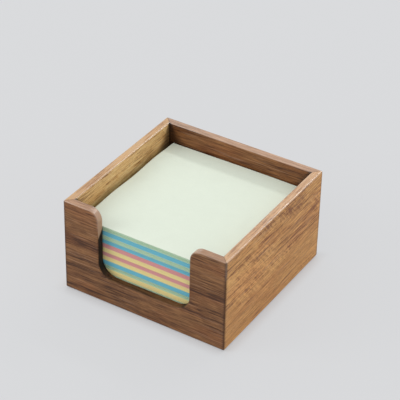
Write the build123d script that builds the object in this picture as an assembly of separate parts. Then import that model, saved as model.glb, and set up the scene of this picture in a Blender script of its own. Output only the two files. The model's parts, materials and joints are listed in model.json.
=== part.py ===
from build123d import *
import os
from math import sin, sqrt

# Wooden memo pad holder: four mitred boards round a grooved-in floor, a rounded
# finger notch in the front board, stick-on feet, and loose packs of square memo paper.
# Millimetres. Z is up, the notch faces -Y, and the origin is the middle of the footprint.

# Memo paper, pushed to the front right corner of the tray
sheet_width = 88.5
sheet_depth = 90.5
sheet_thickness = 0.1
sheets_per_pack = 27
pack_count = 15
pack_front_gap = 0.6
pack_back_gap = 1.3
pack_right_gap = 0.6
pack_left_gap = 3.3
pack_jog = 0.15  # how unevenly the packs are squared up
jog_step_x = 2.3  # radians from one pack to the next, so that no two line up
jog_step_y = 4.1

# Boards
board_height = 57.4
board_thickness = 4.8
edge_ease = 0.8  # rounding of every edge that a hand meets
mitre_line = 0.1  # hairline between two mitred ends

# Finger notch in the front board
notch_width = 57.5
notch_sill = 16.0  # wood left under the notch
notch_shoulder_radius = 6.6  # where the notch rolls into the top edge
notch_corner_radius = 9.4  # at the two ends of the sill

# Floor, held in a groove round the inside
floor_thickness = 3.0
groove_depth = 2.4
groove_play = 0.2  # sideways, so that the floor can swell
groove_headroom = 0.1  # above the floor

# Round stick-on feet under the floor
foot_diameter = 9.0
foot_thickness = 2.8
foot_proud = 0.6  # how far a foot stands below the boards
foot_bevel = 0.7
foot_wall_gap = 3.0  # from a foot to the boards beside it

# Worked out from the sizes above
inner_width = pack_left_gap + sheet_width + pack_right_gap
inner_depth = pack_front_gap + sheet_depth + pack_back_gap
tray_width = inner_width + 2 * board_thickness
tray_depth = inner_depth + 2 * board_thickness
pack_thickness = sheets_per_pack * sheet_thickness
board_bottom = foot_proud
floor_bottom = foot_thickness
floor_top = floor_bottom + floor_thickness
board_top = board_bottom + board_height
stack_top = floor_top + pack_count * pack_thickness
through = 2 * board_thickness  # reach of a cut past the wood on each side
hair = 0.01  # tolerance for telling one edge from another

on_floor = (Align.CENTER, Align.CENTER, Align.MIN)


def notch_cutter():
    """The notch's outline, drawn on the front and pushed through the front board."""
    half = notch_width / 2
    shoulder = half + notch_shoulder_radius
    sill_end = half - notch_corner_radius
    sill_height = board_bottom + notch_sill
    shoulder_foot = board_top - notch_shoulder_radius
    sill_corner = sill_height + notch_corner_radius
    over_top = board_top + through
    with BuildSketch(Plane.XZ) as outline:
        with BuildLine():
            Line((0, over_top), (shoulder, over_top))
            Line((shoulder, over_top), (shoulder, board_top))
            RadiusArc((shoulder, board_top), (half, shoulder_foot), -notch_shoulder_radius)
            Line((half, shoulder_foot), (half, sill_corner))
            RadiusArc((half, sill_corner), (sill_end, sill_height), notch_corner_radius)
            Line((sill_end, sill_height), (0, sill_height))
            mirror(about=Plane.YZ)
        make_face()
    front = Pos(0, -tray_depth / 2, 0) * outline.sketch
    return extrude(front, amount=through, both=True)


def is_eased(edge):
    """True for the edges that a hand meets: the rim, the notch, and the outside corners."""
    middle = edge.center()
    outside = abs(middle.X) > tray_width / 2 - hair or abs(middle.Y) > tray_depth / 2 - hair
    above_floor = middle.Z > floor_top + groove_headroom + hair
    upright = edge.geom_type == GeomType.LINE and abs((edge @ 1 - edge @ 0).Z) > board_height / 2
    across = abs(edge.length - board_thickness) < hair
    inner_corner = upright and not outside
    return (outside or above_floor) and not across and not inner_corner


def tray_ring():
    """All four boards in one: the walls, the floor's groove, the notch and the eased edges."""
    walls = Pos(0, 0, board_bottom) * Box(tray_width, tray_depth, board_height, align=on_floor)
    walls -= Box(inner_width, inner_depth, board_top + through, align=on_floor)
    groove = Box(
        inner_width + 2 * groove_depth,
        inner_depth + 2 * groove_depth,
        floor_thickness + groove_headroom,
        align=on_floor,
    )
    walls -= Pos(0, 0, floor_bottom) * groove
    walls -= notch_cutter()
    return fillet(walls.edges().filter_by(is_eased), edge_ease)


def mitre_wedge(length, span, turn):
    """What one board takes of the plan: ends at 45 degrees, cut back by half the mitre line."""
    back = mitre_line / sqrt(2)
    corner_x = length / 2
    corner_y = -span / 2 - back
    outer_y = corner_y - through
    inner_y = corner_y + through
    outer_left = (-corner_x - through, outer_y)
    outer_right = (corner_x + through, outer_y)
    inner_right = (corner_x - through, inner_y)
    inner_left = (-corner_x + through, inner_y)
    plan = make_face(Polyline(outer_left, outer_right, inner_right, inner_left, close=True))
    return Rot(0, 0, turn) * extrude(plan, amount=board_top + through)


def floor_panel():
    """The floor, its edges in the groove of all four boards."""
    tongue = groove_depth - groove_play
    panel = Box(inner_width + 2 * tongue, inner_depth + 2 * tongue, floor_thickness, align=on_floor)
    return Pos(0, 0, floor_bottom) * panel


def foot(x, y):
    """One stick-on foot, bevelled where it meets the table."""
    pad = Cylinder(foot_diameter / 2, foot_thickness, align=on_floor)
    pad = chamfer(pad.edges().sort_by(Axis.Z)[0], foot_bevel)
    return Pos(x, y, 0) * pad


def memo_pack(index):
    """One pack of sheets of one colour, counted from the floor up."""
    jog_x = pack_jog * sin(jog_step_x * index)
    jog_y = pack_jog * sin(jog_step_y * index)
    x = inner_width / 2 - pack_right_gap - sheet_width / 2 + jog_x
    y = -inner_depth / 2 + pack_front_gap + sheet_depth / 2 + jog_y
    z = floor_top + index * pack_thickness
    return Pos(x, y, z) * Box(sheet_width, sheet_depth, pack_thickness, align=on_floor)


nodes = {}
ring = tray_ring()
nodes["front_board"] = ring & mitre_wedge(tray_width, tray_depth, 0)
nodes["right_board"] = ring & mitre_wedge(tray_depth, tray_width, 90)
nodes["back_board"] = ring & mitre_wedge(tray_width, tray_depth, 180)
nodes["left_board"] = ring & mitre_wedge(tray_depth, tray_width, 270)
nodes["floor_panel"] = floor_panel()

foot_x = inner_width / 2 - foot_wall_gap - foot_diameter / 2
foot_y = inner_depth / 2 - foot_wall_gap - foot_diameter / 2
nodes["foot_front_left"] = foot(-foot_x, -foot_y)
nodes["foot_front_right"] = foot(foot_x, -foot_y)
nodes["foot_back_left"] = foot(-foot_x, foot_y)
nodes["foot_back_right"] = foot(foot_x, foot_y)

for index in range(pack_count):
    nodes[f"memo_pack_{index + 1:02d}"] = memo_pack(index)

os.makedirs("parts", exist_ok=True)
for name, solid in nodes.items():
    export_step(solid, "parts/" + name + ".step")

print("outside", round(tray_width, 2), "by", round(tray_depth, 2))
print("rim", round(board_top, 2), "top of paper", round(stack_top, 2))
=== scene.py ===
import bpy
import json
import math
import numpy as np
from mathutils import Matrix, Vector


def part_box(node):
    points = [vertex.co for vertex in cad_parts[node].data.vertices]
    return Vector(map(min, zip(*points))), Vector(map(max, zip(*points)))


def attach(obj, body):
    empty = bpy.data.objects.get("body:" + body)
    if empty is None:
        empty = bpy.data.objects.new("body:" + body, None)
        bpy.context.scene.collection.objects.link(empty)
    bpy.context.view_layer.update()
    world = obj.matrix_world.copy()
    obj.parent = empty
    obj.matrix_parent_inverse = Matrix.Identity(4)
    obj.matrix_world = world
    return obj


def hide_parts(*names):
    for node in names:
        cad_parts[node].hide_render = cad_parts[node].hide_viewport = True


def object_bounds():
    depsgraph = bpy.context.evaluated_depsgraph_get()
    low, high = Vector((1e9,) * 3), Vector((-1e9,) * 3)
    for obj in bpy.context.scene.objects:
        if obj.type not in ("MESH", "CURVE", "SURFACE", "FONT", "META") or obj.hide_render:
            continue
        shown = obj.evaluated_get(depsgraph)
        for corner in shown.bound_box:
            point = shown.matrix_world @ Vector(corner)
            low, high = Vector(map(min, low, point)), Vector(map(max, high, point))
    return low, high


# Wooden memo tray with a block of coloured paper. Metres, z up, the finger notch faces -y.

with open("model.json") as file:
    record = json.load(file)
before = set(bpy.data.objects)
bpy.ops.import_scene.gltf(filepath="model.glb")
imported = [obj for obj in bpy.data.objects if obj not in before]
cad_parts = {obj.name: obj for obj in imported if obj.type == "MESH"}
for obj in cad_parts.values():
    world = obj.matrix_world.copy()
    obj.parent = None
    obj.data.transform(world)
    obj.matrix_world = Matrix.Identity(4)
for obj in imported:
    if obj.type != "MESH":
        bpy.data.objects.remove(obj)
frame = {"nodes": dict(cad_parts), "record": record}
cadBox = [list(corner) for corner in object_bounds()]
nodes = frame["nodes"]
slotOf = {entry["node"]: entry["material_slot"] for entry in frame["record"]["subparts"]}
mm = 0.001
print("frame loaded:", len(nodes), "nodes")


class Wire:
    # an output socket; arithmetic on it adds Math nodes to its tree

    def __init__(self, tree, socket):
        self.tree = tree
        self.socket = socket

    def maths(self, operation, *values):
        return addNode(self.tree, "Math", {"operation": operation}, dict(enumerate(values)))

    def __add__(self, other):
        return self.maths("ADD", self, other)

    def __radd__(self, other):
        return self.maths("ADD", other, self)

    def __sub__(self, other):
        return self.maths("SUBTRACT", self, other)

    def __rsub__(self, other):
        return self.maths("SUBTRACT", other, self)

    def __mul__(self, other):
        return self.maths("MULTIPLY", self, other)

    def __rmul__(self, other):
        return self.maths("MULTIPLY", other, self)

    def __truediv__(self, other):
        return self.maths("DIVIDE", self, other)

    def __pow__(self, other):
        return self.maths("POWER", self, other)

    def __abs__(self):
        return self.maths("ABSOLUTE", self)


def addNode(tree, kind, settings, inputs, output=0):
    # any shader node: its settings first, then values or wires for its sockets
    node = tree.nodes.new("ShaderNode" + kind)
    for name, value in settings.items():
        setattr(node, name, value)
    for name, value in inputs.items():
        if isinstance(value, Wire):
            tree.links.new(value.socket, node.inputs[name])
        else:
            node.inputs[name].default_value = value
    return Wire(tree, node.outputs[output])


def ease(tree, value, low, high, start=0.0, end=1.0):
    # smooth step: start below low, end above high
    sockets = {0: value, 1: low, 2: high, 3: start, 4: end}
    return addNode(tree, "MapRange", {"interpolation_type": "SMOOTHSTEP"}, sockets)


def blendColour(tree, amount, first, second, how="MIX"):
    # colours through a Mix node: first where amount is 0, second where it is 1
    settings = {"data_type": "RGBA", "blend_type": how}
    return addNode(tree, "Mix", settings, {0: amount, 6: first, 7: second}, output=2)


def noise(tree, place, scale, detail=2.0, rough=0.5, twist=0.0):
    sockets = {"Vector": place, "Scale": scale, "Detail": detail, "Roughness": rough, "Distortion": twist}
    return addNode(tree, "TexNoise", {"noise_dimensions": "3D"}, sockets)


def stretch(tree, place, factors):
    return addNode(tree, "VectorMath", {"operation": "MULTIPLY"}, {0: place, 1: factors})


def highest(tree, first, second):
    return addNode(tree, "Math", {"operation": "MAXIMUM"}, {0: first, 1: second})


def paint(red, green, blue):
    # a colour written as 0 to 255 screen values, turned into the linear values that shaders take
    parts = np.array([red, green, blue]) / 255
    linear = np.where(parts <= 0.04045, parts / 12.92, ((parts + 0.055) / 1.055) ** 2.4)
    return (*[float(part) for part in linear], 1.0)


def newMaterial(name):
    material = bpy.data.materials.new(name)
    material.use_nodes = True
    material.node_tree.nodes.clear()
    return material, material.node_tree


def closeMaterial(tree, settings):
    # Principled surface into the material's output
    surface = addNode(tree, "BsdfPrincipled", {}, settings)
    ending = tree.nodes.new("ShaderNodeOutputMaterial")
    tree.links.new(surface.socket, ending.inputs["Surface"])


def dress(thing, material):
    thing.data.materials.clear()
    thing.data.materials.append(material)


# Wood. Each board is sawn from its own log: growth rings round a pith line along the board.

# The boards' base tones are partly their own wood and partly painted light and shade: the front and back
# boards are set darker and the right and left boards lighter, as light falls on them.
untoned = (1.0, 1.0, 1.0, 1.0)
walnutBoards = {
    "front_board": {
        "along": "x", "shift": (3.1, 0.4, 0.2), "pith": (-34 * mm, 52 * mm),
        "dark": (70, 40, 18), "middle": (121, 80, 46), "light": (153, 109, 68), "pale": (200, 162, 134),
        "ruddy": (1.0, 0.84, 0.76, 1.0), "contrast": 0.9, "broad": 0.48, "curl": 0.3, "calmBelow": 0 * mm,
        "outerTone": untoned,
    },
    "right_board": {
        "along": "y", "shift": (7.7, 1.3, 0.9), "pith": (86 * mm, 60 * mm),
        "dark": (134, 78, 33), "middle": (203, 145, 79), "light": (237, 181, 109), "pale": (206, 178, 152),
        "ruddy": (1.0, 0.90, 0.86, 1.0), "contrast": 1.0, "broad": 0.12, "curl": 1.0, "calmBelow": 26 * mm,
        "outerTone": untoned,
    },
    "back_board": {
        "along": "x", "shift": (11.2, 2.1, 1.7), "pith": (-20 * mm, 70 * mm),
        "dark": (76, 41, 19), "middle": (127, 82, 46), "light": (157, 108, 65), "pale": (216, 182, 156),
        "ruddy": (1.0, 0.84, 0.78, 1.0), "contrast": 0.85, "broad": 0.25, "curl": 0.3, "calmBelow": 0 * mm,
        "outerTone": untoned,
    },
    "left_board": {
        "along": "y", "shift": (17.9, 3.2, 2.6), "pith": (90 * mm, 48 * mm),
        "dark": (152, 103, 56), "middle": (232, 187, 124), "light": (254, 218, 156), "pale": (176, 144, 120),
        "ruddy": (1.0, 0.92, 0.84, 1.0), "contrast": 0.9, "broad": 0.2, "curl": 0.5, "calmBelow": 0 * mm,
        "outerTone": (0.80, 0.62, 0.48, 1.0),  # a guess: brings its hidden outside near the other boards, taking off the painted light set in this board's lighter colours
    },
}
floorBoard = {
    "along": "x", "shift": (23.0, 5.2, 3.7), "pith": (15 * mm, 240 * mm),
    "dark": (92, 58, 32), "middle": (137, 97, 59), "light": (160, 119, 77), "pale": (160, 119, 77),
    "ruddy": (1.0, 0.88, 0.82, 1.0), "contrast": 0.8, "broad": 0.3, "curl": 0.2, "calmBelow": 0 * mm,
    "outerTone": untoned,
}

# where the finish, and the painted light and shade, change on every board
boardFinish = {
    "outsideFrom": 50.2 * mm, "outsideTo": 50.9 * mm,  # distance from the middle of the tray
    "upperFrom": 44 * mm, "upperTo": 50 * mm,  # pale tops and arrises, partly painted sheen and highlight, and the polish only on the upper part
    "cheekLimit": 50 * mm,  # no end grain past this distance along the board
    # the slanted line on the notch's cheeks: painted light above it, painted shadow below it
    "shadowSlant": 1.25, "shadowFrom": 103.4 * mm, "shadowTo": 105.4 * mm,
    # the sill gets painted shade between these heights
    "sillFrom": 10 * mm, "sillTo": 14 * mm,
    "insideFrom": 47 * mm, "insideTo": 46.5 * mm,
    "cornerReach": 60 * mm,  # the inner corners' painted shade wedge narrows to nothing at this height
    "seamWide": 0.75 * mm, "seamNarrow": 0.15 * mm,
    "edgeWide": 2.0 * mm, "edgeNarrow": 0.3 * mm,
    "bumpDepth": 0.05 * mm, "coatRoughness": 0.22, "coatIor": 1.55,
}


def walnut(name, wood):
    # base level plus clouds plus marks, run through three wood colours; finish and wear go on top
    finish = boardFinish
    material, tree = newMaterial(name)
    place = addNode(tree, "TexCoord", {}, {}, output=3)
    x, y, z = [addNode(tree, "SeparateXYZ", {}, {0: place}, output=axis) for axis in range(3)]
    along, through, up = (x, y, z) if wood["along"] == "x" else (y, x, z)
    if name == "floor_panel":
        up, through = through, up
    shift = [part * 0.1 for part in wood["shift"]]
    grain = addNode(tree, "CombineXYZ", {}, {0: along + shift[0], 1: up + shift[1], 2: through + shift[2]})

    # rings: distance from the pith, bent by a slow and a quick noise
    slow = noise(tree, stretch(tree, grain, (0.22, 1.0, 1.0)), 34.0, 2.0) - 0.5
    quick = noise(tree, stretch(tree, grain, (0.3, 1.0, 1.0)), 130.0, 2.0) - 0.5
    pithUp, pithThrough = wood["pith"]
    fromPith = ((up - pithUp) ** 2.0 + (abs(through) - pithThrough) ** 2.0) ** 0.5
    ring = fromPith + slow * (9 * mm) + quick * (2.2 * mm)
    ringPlace = addNode(tree, "CombineXYZ", {}, {0: along * 0.035, 1: ring, 2: shift[0]})
    bands = noise(tree, ringPlace, 150.0, 3.0, 0.6)
    lines = noise(tree, ringPlace, 520.0, 2.0, 0.6)
    lateWood = ease(tree, bands, 0.52, 0.36)
    thinLines = ease(tree, lines, 0.48, 0.34)

    # fibres, threads and pores, drawn out along the grain
    streak = noise(tree, stretch(tree, grain, (0.045, 1.0, 1.0)), 1100.0, 3.0, 0.65)
    fibre = noise(tree, stretch(tree, grain, (0.05, 1.0, 1.0)), 1900.0, 3.0, 0.65)
    thread = noise(tree, stretch(tree, grain, (0.04, 1.0, 1.0)), 3100.0, 1.0)
    poreNoise = noise(tree, stretch(tree, grain, (0.09, 1.0, 1.0)), 4200.0, 0.0)
    pores = ease(tree, poreNoise, 0.66, 0.76) * (0.35 + 0.65 * lateWood)

    # curl: short strokes that lie across the grain on a slant, in patches
    patch = ease(tree, noise(tree, stretch(tree, grain, (0.6, 1.6, 1.0)), 26.0, 1.0), 0.42, 0.6)
    strokeRun = along * 0.75 + up * 0.66
    strokeRise = up * 0.17 - along * 0.15
    stroke = addNode(tree, "CombineXYZ", {}, {0: strokeRun, 1: strokeRise, 2: through})
    bars = noise(tree, stroke, 560.0, 2.0, 0.55, 0.7)
    curl = (bars - 0.5) * patch * wood["curl"]
    cloud = noise(tree, stretch(tree, grain, (0.5, 1.0, 1.0)), 42.0, 2.0)

    # some boards are quiet below a line where the saw ran along one broad ring
    calmLine = wood["calmBelow"] + slow * (8 * mm)
    busy = ease(tree, up - calmLine, -2 * mm, 3 * mm, 0.7, 1.0)
    fineMarks = (streak - 0.5) * 2.0 + (fibre - 0.5) * 2.5 + curl * 1.8
    marks = fineMarks - lateWood * wood["broad"] - thinLines * 0.34
    level = 0.66 + (cloud - 0.5) * 0.7 + marks * busy * wood["contrast"]
    half = ease(tree, level, 0.0, 0.5)
    upper = ease(tree, level, 0.5, 1.0)
    colour = blendColour(tree, half, paint(*wood["dark"]), paint(*wood["middle"]))
    colour = blendColour(tree, upper, colour, paint(*wood["light"]))
    warm = ease(tree, noise(tree, stretch(tree, grain, (0.3, 1.0, 1.0)), 90.0, 2.0), 0.42, 0.64)
    colour = blendColour(tree, warm * busy * 0.7, colour, wood["ruddy"], "MULTIPLY")
    fromMiddle = highest(tree, abs(x), abs(y))
    outside = ease(tree, fromMiddle, finish["outsideFrom"], finish["outsideTo"])
    colour = blendColour(tree, outside, colour, wood["outerTone"], "MULTIPLY")
    colour = blendColour(tree, (thread - 0.5) * 0.5 + 0.10, colour, paint(*wood["dark"]))
    silver = ease(tree, noise(tree, stretch(tree, grain, (0.03, 1.0, 1.0)), 1300.0, 1.0), 0.60, 0.72)
    colour = blendColour(tree, silver * 0.22, colour, paint(*wood["pale"]))
    colour = blendColour(tree, pores * 0.55, colour, (0.05, 0.028, 0.016, 1.0))

    # top faces are paler, partly planed wood and partly painted sheen; arrises are paler, partly wear and
    # partly painted highlight; polish is the waxed sheen on the rounded ones
    normal = addNode(tree, "TexCoord", {}, {}, output=1)
    sides = [abs(addNode(tree, "SeparateXYZ", {}, {0: normal}, output=axis)) for axis in range(3)]
    flattest = highest(tree, highest(tree, sides[0], sides[1]), sides[2])
    arris = ease(tree, 1 - flattest, 0.01, 0.16)
    upperPart = ease(tree, z, finish["upperFrom"], finish["upperTo"])
    rim = ease(tree, sides[2], 0.5, 0.95) * upperPart
    wearAndGlint = arris * upperPart * (0.6 + 0.4 * cloud)
    polish = ease(tree, 1 - flattest, 0.001, 0.02) * upperPart
    planedAndSheen = rim * (0.52 + (streak - 0.5) * 1.0 + (fibre - 0.5) * 0.8)
    colour = blendColour(tree, planedAndSheen + wearAndGlint * 0.3, colour, paint(*wood["pale"]))

    # end grain on the notch's cheeks is painted dark, partly its own darker end grain and partly painted
    # shadow; above a slanted line, the shadow's edge, its top is painted pale as light falling on it
    lengthwise, sidewise = (sides[0], sides[1]) if wood["along"] == "x" else (sides[1], sides[0])
    toEnd = finish["cheekLimit"] - abs(along)
    endGrain = ease(tree, lengthwise, 0.3, 0.9) * ease(tree, toEnd, 0.5 * mm, 2 * mm)
    endGrain = endGrain * ease(tree, sidewise, 0.7, 0.3)
    slanted = z + abs(through) * finish["shadowSlant"]
    litAboveShadow = ease(tree, slanted, finish["shadowFrom"], finish["shadowTo"])
    colour = blendColour(tree, endGrain * litAboveShadow * 0.75, colour, paint(*wood["pale"]))
    colour = blendColour(tree, endGrain * (1 - litAboveShadow) * 0.95, colour, paint(16, 8, 3))

    # the sill and the inner corners are darkened with painted shade, and the mitres show as a dark hairline
    # with a wider dark band down the outer corners
    fromMitre = abs(abs(x) - abs(y))
    aboveSill = ease(tree, z, finish["sillFrom"], finish["sillTo"])
    sill = ease(tree, sides[2], 0.3, 0.8) * (1 - upperPart) * aboveSill
    inside = ease(tree, fromMiddle, finish["insideFrom"], finish["insideTo"])
    corner = ease(tree, fromMitre / (finish["cornerReach"] - z), 1.0, 0.15) * inside
    paintedShade = sill * 0.4 + corner * 0.8
    colour = blendColour(tree, paintedShade, colour, paint(38, 20, 9))
    seam = ease(tree, fromMitre, finish["seamWide"], finish["seamNarrow"]) * (1 - rim * 0.8)
    edgeLine = ease(tree, fromMitre, finish["edgeWide"], finish["edgeNarrow"])
    outerEdge = edgeLine * (1 - inside) * (1 - rim)
    colour = blendColour(tree, highest(tree, seam * 0.7, outerEdge * 0.55), colour, paint(54, 30, 14))

    roughness = 0.42 + fibre * 0.12 + pores * 0.2 + endGrain * 0.2 - wearAndGlint * 0.16
    height = fibre * 0.5 + thread * 0.25 - pores * 0.9 - lateWood * 0.2
    relief = {"Strength": 0.45, "Distance": finish["bumpDepth"], "Height": height}
    bump = addNode(tree, "Bump", {}, relief)
    closeMaterial(tree, {
        "Base Color": colour, "Roughness": roughness, "Normal": bump, "IOR": 1.45,
        "Specular IOR Level": 0.4, "Coat Weight": polish,
        "Coat Roughness": finish["coatRoughness"], "Coat IOR": finish["coatIor"],
    })
    return material


for name, wood in walnutBoards.items():
    dress(nodes[name], walnut(name, wood))
dress(nodes["floor_panel"], walnut("floor_panel", floorBoard))
print("boards and floor finished in walnut")


# Feet: matt rubber with a fine pebble

rubberFoot = {"colour": (34, 33, 33), "dust": (84, 80, 76), "roughness": 0.72}


def rubber(name, foot):
    material, tree = newMaterial(name)
    place = addNode(tree, "TexCoord", {}, {}, output=3)
    pebble = noise(tree, place, 2600.0, 2.0)
    dusty = ease(tree, noise(tree, place, 240.0, 3.0), 0.52, 0.75)
    colour = blendColour(tree, dusty * 0.35, paint(*foot["colour"]), paint(*foot["dust"]))
    bump = addNode(tree, "Bump", {}, {"Strength": 0.5, "Distance": 0.06 * mm, "Height": pebble})
    roughness = foot["roughness"] + dusty * 0.15
    closeMaterial(tree, {"Base Color": colour, "Roughness": roughness, "Normal": bump, "IOR": 1.52})
    return material


footMaterial = rubber("foot_rubber", rubberFoot)
for name in nodes:
    if name.startswith("foot_"):
        dress(nodes[name], footMaterial)
print("feet finished in rubber")


# Paper: packs of loose sheets, each sheet a little out of line with the next

paperColours = {
    "paper_green": {"face": (227, 236, 221), "edge": (156, 196, 158)},
    "paper_blue": {"face": (134, 206, 228), "edge": (112, 187, 204)},
    "paper_pink": {"face": (240, 172, 172), "edge": (208, 158, 156)},
    "paper_yellow": {"face": (250, 236, 170), "edge": (230, 213, 154)},
}
memoPack = {
    "sheets": 27,
    "seed": 400,
    "jitter": 0.05 * mm,  # how far a sheet slips out of line
    "slipLimit": 1.6,  # furthest slip, in jitters
    "halfSheet": 45 * mm,  # the outline shrinks by the furthest slip over this, so slips stay inside
    "topRing": 0.9992,  # size of the ring that closes each sheet's upper edge
    "ledge": 0.12,  # share of a sheet's thickness that its rounded cut edge takes
    "sidePoints": 36,
    "cornerRadius": 0.25 * mm,
    "curlRise": 0.70 * mm,  # lift of the uppermost sheet's free edges
    "curlSheets": 7,  # how many sheets under the top share the lift
    "capSteps": (0.985, 0.96, 0.92, 0.86, 0.78, 0.66, 0.5, 0.3, 0.12),
}


def paper(name, colours):
    material, tree = newMaterial(name)
    place = addNode(tree, "TexCoord", {}, {}, output=3)
    facing = addNode(tree, "TexCoord", {}, {}, output=1)
    level = abs(addNode(tree, "SeparateXYZ", {}, {0: facing}, output=2))
    flat = ease(tree, level, 0.55, 0.9)
    fibres = noise(tree, place, 1500.0, 4.0, 0.65)
    mottle = noise(tree, place, 130.0, 2.0)
    sheetPlace = stretch(tree, place, (0.12, 0.12, 6.0))
    sheetLines = noise(tree, sheetPlace, 1300.0, 2.0, 0.6)
    colour = blendColour(tree, flat, paint(*colours["edge"]), paint(*colours["face"]))
    shade = (fibres - 0.5) * 0.10 + (mottle - 0.5) * 0.06
    edgeShade = (sheetLines - 0.5) * 0.55 * (1 - flat)
    darker = highest(tree, 0.06 + shade + edgeShade, 0.0)
    colour = blendColour(tree, darker, colour, (0.30, 0.29, 0.26, 1.0), "MULTIPLY")
    height = fibres * 0.6 + sheetLines * (1 - flat)
    bump = addNode(tree, "Bump", {}, {"Strength": 0.25, "Distance": 0.03 * mm, "Height": height})
    roughness = 0.80 + fibres * 0.14
    closeMaterial(tree, {"Base Color": colour, "Roughness": roughness, "Normal": bump, "IOR": 1.4})
    return material


def packOutline(low, high, points, radius):
    # each side runs straight from corner to corner, pushed out by the radius; quarter circles join them
    run = np.linspace(0, 1, points, endpoint=False)
    left, right = low.x + radius, high.x - radius
    front, back = low.y + radius, high.y - radius
    turn = np.linspace(-math.pi / 2, 0, 4)
    sides = [
        ((left, front), (right, front), (0, -1)),
        ((right, front), (right, back), (1, 0)),
        ((right, back), (left, back), (0, 1)),
        ((left, back), (left, front), (-1, 0)),
    ]
    places = []
    for start, end, out in sides:
        line = np.outer(1 - run, start) + np.outer(run, end) + radius * np.array(out)
        first = math.atan2(out[1], out[0])
        corner = np.array(end) + radius * np.stack([np.cos(turn + math.pi / 2 + first),
                                                    np.sin(turn + math.pi / 2 + first)], 1)
        places.append(np.concatenate([line, corner[:-1]]))
    return np.concatenate(places)


def lift(x, y, low, high):
    # share of the lift: the largest of three bells, one on each free edge, each times a slow sine along it
    across = (x - low.x) / (high.x - low.x)
    deep = (y - low.y) / (high.y - low.y)
    leftEdge = np.exp(-((across / 0.10) ** 2)) * (0.5 + 0.5 * np.sin(deep * 13.8 - 2.85))
    backEdge = np.exp(-(((1 - deep) / 0.07) ** 2)) * (0.3 + 0.3 * np.sin(across * 5.0 - 1.6))
    frontEdge = np.exp(-((deep / 0.06) ** 2)) * (0.08 + 0.06 * np.sin(across * 11.0))
    return np.maximum(np.maximum(leftEdge, backEdge), frontEdge)


def buildPack(name, number, isTop):
    # a stack of rings, three for each sheet: low, high, and drawn in at its top; rings that shrink
    # to the middle close both ends. A sheet's lift falls off with the square of its depth under the top.
    low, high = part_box(name)
    spec = memoPack
    random = np.random.default_rng(spec["seed"] + number)
    outline = packOutline(low, high, spec["sidePoints"], spec["cornerRadius"])
    around = len(outline)
    sheet = (high.z - low.z) / spec["sheets"]
    limit = spec["slipLimit"]
    slip = random.normal(0, 1, (spec["sheets"], 2)).clip(-limit, limit) * spec["jitter"]
    centre = np.array([(low.x + high.x) / 2, (low.y + high.y) / 2])
    shrink = 1 - spec["jitter"] * limit / spec["halfSheet"]
    rings = []
    for count in range(spec["sheets"]):
        level = low.z + sheet * count
        lifted = lift(outline[:, 0], outline[:, 1], low, high) * spec["curlRise"] * isTop
        share = max(0.0, 1 - (spec["sheets"] - 1 - count) / spec["curlSheets"]) ** 2
        ring = centre + (outline - centre) * shrink + slip[count]
        for height in (spec["ledge"], 1 - spec["ledge"]):
            z = level + sheet * height + lifted * share
            rings.append(np.column_stack([ring, z]))
        inner = centre + (ring - centre) * spec["topRing"]
        z = level + sheet + lifted * share
        rings.append(np.column_stack([inner, z]))
    rings = np.array(rings)
    total = len(rings)
    index = np.arange(total * around).reshape(total, around)
    right = np.roll(index, -1, axis=1)
    walls = np.stack([index[:-1], right[:-1], right[1:], index[1:]], -1).reshape(-1, 4)
    places = [rings.reshape(-1, 3)]
    faces = [walls]
    fans = []
    for ringPlace, flip, isCap in ((rings[0], True, False), (rings[-1], False, isTop)):
        # many rings near the edge, so that the lift can run inwards
        steps = np.array(spec["capSteps"])
        capBase = sum(len(part) for part in places)
        middle = ringPlace[:, :2].mean(0)
        spread = middle + (ringPlace[None, :, :2] - middle) * steps[:, None, None]
        level = np.full(spread.shape[:2], low.z if flip else high.z)
        if isCap:
            level = level + lift(spread[..., 0], spread[..., 1], low, high) * spec["curlRise"]
        places.append(np.dstack([spread, level]).reshape(-1, 3))
        edge = index[0] if flip else index[-1]
        grid = np.concatenate([edge[None], capBase + np.arange(len(steps) * around).reshape(-1, around)])
        turned = np.roll(grid, -1, axis=1)
        cap = np.stack([grid[:-1], turned[:-1], turned[1:], grid[1:]], -1).reshape(-1, 4)
        faces.append(cap[:, ::-1] if flip else cap)
        fans.append(grid[-1][::-1] if flip else grid[-1])
    mesh = bpy.data.meshes.new(name + "_paper")
    quads = np.concatenate(faces).tolist() + [fan.tolist() for fan in fans]
    mesh.from_pydata(np.concatenate(places).tolist(), [], quads)
    mesh.validate()
    piece = bpy.data.objects.new(name + "_paper", mesh)
    bpy.context.scene.collection.objects.link(piece)
    return piece


paperMaterials = {slot: paper(slot, colours) for slot, colours in paperColours.items()}
packs = sorted(name for name in nodes if name.startswith("memo_pack_"))
for number, name in enumerate(packs):
    piece = buildPack(name, number, name == packs[-1])
    dress(piece, paperMaterials[slotOf[name]])
    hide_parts(name)
    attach(piece, name)
print("paper stacked:", len(packs), "packs")


# Table, light and camera

studio = {
    "table": (216, 217, 219), "tableSize": 3.0,
    "tableShare": 0.84,  # how much of the table is plain colour, far from the tray
    "contactShare": 0.45, "contactReach": 7 * mm,  # and against it, and how far that reaches
    "skyLow": 0.355, "skyGain": 0.74, "skyLean": (0.17, -0.23, 0.88),
    "lampDistance": 1.3,
    "lamps": {
        "strip": {"direction": (0.10, 0.70, 0.66), "wide": 0.78, "high": 0.10, "power": 3.0},
        "back": {"direction": (-0.43, 0.70, 0.57), "wide": 0.7, "high": 0.7, "power": 1.2},
        "front": {"direction": (-0.66, -0.55, 0.51), "wide": 0.6, "high": 0.6, "power": 4.2},
    },
}
viewpoint = {
    "place": (386.9, -631.1, 558.0),  # millimetres
    "azimuth": 31.29, "elevation": 34.54, "roll": 1.26,  # degrees
    "lens": 148.59,
}


def seenByCamera(tree):
    # 1 for rays that end in the picture: camera, glossy and transmission rays
    camera, glossy, through = [addNode(tree, "LightPath", {}, {}, output=ray) for ray in (0, 3, 6)]
    return highest(tree, highest(tree, camera, glossy), through)


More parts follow.
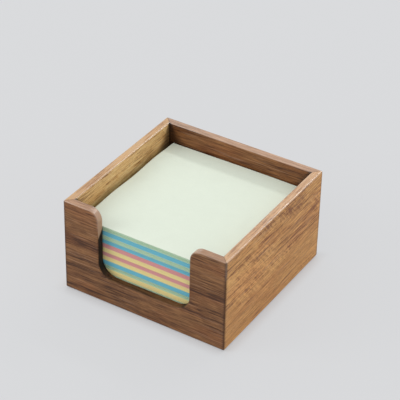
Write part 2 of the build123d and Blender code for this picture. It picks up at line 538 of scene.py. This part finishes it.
def makeTable():
    # one square, its camera colour part plain and part shaded, so that the shadow stays soft
    half = studio["tableSize"] / 2
    corners = [(-half, -half, 0), (half, -half, 0), (half, half, 0), (-half, half, 0)]
    mesh = bpy.data.meshes.new("table")
    mesh.from_pydata(corners, [], [(0, 1, 2, 3)])
    table = bpy.data.objects.new("table", mesh)
    bpy.context.scene.collection.objects.link(table)
    material, tree = newMaterial("table_top")
    colour = paint(*studio["table"])
    diffuse = addNode(tree, "BsdfDiffuse", {}, {"Color": colour})
    plain = addNode(tree, "Emission", {}, {"Color": colour, "Strength": 1.0})
    seen = seenByCamera(tree)
    place = addNode(tree, "TexCoord", {}, {}, output=3)
    x, y = [abs(addNode(tree, "SeparateXYZ", {}, {0: place}, output=axis)) for axis in range(2)]
    away = highest(tree, x, y) - cadBox[1][0]
    share = ease(tree, away, 0.0, studio["contactReach"], studio["contactShare"], studio["tableShare"])
    surface = addNode(tree, "MixShader", {}, {0: seen * share, 1: diffuse, 2: plain})
    ending = tree.nodes.new("ShaderNodeOutputMaterial")
    tree.links.new(surface.socket, ending.inputs["Surface"])
    dress(table, material)


def makeSky():
    # soft light from all round, stronger towards skyLean; the camera sees the plain table colour
    world = bpy.data.worlds.new("sky")
    world.use_nodes = True
    tree = world.node_tree
    tree.nodes.clear()
    seen = seenByCamera(tree)
    outwards = addNode(tree, "TexCoord", {}, {}, output=0)
    directions = {0: outwards, 1: studio["skyLean"]}
    lean = addNode(tree, "VectorMath", {"operation": "DOT_PRODUCT"}, directions, output=1)
    strength = highest(tree, studio["skyLow"] + lean * studio["skyGain"], 0.02)
    lit = addNode(tree, "Background", {}, {"Color": (1, 1, 1, 1), "Strength": strength})
    plain = addNode(tree, "Background", {}, {"Color": paint(*studio["table"]), "Strength": 1.0})
    surface = addNode(tree, "MixShader", {}, {0: seen, 1: lit, 2: plain})
    ending = tree.nodes.new("ShaderNodeOutputWorld")
    tree.links.new(surface.socket, ending.inputs["Surface"])
    bpy.context.scene.world = world


def makeLamps():
    # soft panels that face the tray; the strip gives the rounded edges their glint
    for name, panel in studio["lamps"].items():
        light = bpy.data.lights.new(name, "AREA")
        light.shape = "RECTANGLE"
        light.size = panel["wide"]
        light.size_y = panel["high"]
        light.energy = panel["power"]
        lamp = bpy.data.objects.new(name, light)
        direction = Vector(panel["direction"]).normalized()
        lamp.location = direction * studio["lampDistance"]
        lamp.rotation_mode = "QUATERNION"
        lamp.rotation_quaternion = direction.to_track_quat("Z", "Y")
        bpy.context.scene.collection.objects.link(lamp)


def makeCamera():
    turn, tilt, roll = [math.radians(viewpoint[part]) for part in ("azimuth", "elevation", "roll")]
    forward = Vector((-math.sin(turn) * math.cos(tilt), math.cos(turn) * math.cos(tilt), -math.sin(tilt)))
    level = Vector((math.cos(turn), math.sin(turn), 0))
    upright = level.cross(forward)
    right = level * math.cos(roll) + upright * math.sin(roll)
    up = upright * math.cos(roll) - level * math.sin(roll)
    lens = bpy.data.cameras.new("camera")
    lens.lens = viewpoint["lens"]
    lens.sensor_width = 36.0
    lens.clip_start, lens.clip_end = 0.05, 20.0
    camera = bpy.data.objects.new("camera", lens)
    facing = Matrix((right, up, -forward)).transposed().to_4x4()
    camera.matrix_world = Matrix.Translation(Vector(viewpoint["place"]) * mm) @ facing
    bpy.context.scene.collection.objects.link(camera)
    bpy.context.scene.camera = camera


makeTable()
makeSky()
makeLamps()
makeCamera()
bpy.context.scene.view_settings.view_transform = "Standard"
print("table, light and camera placed")
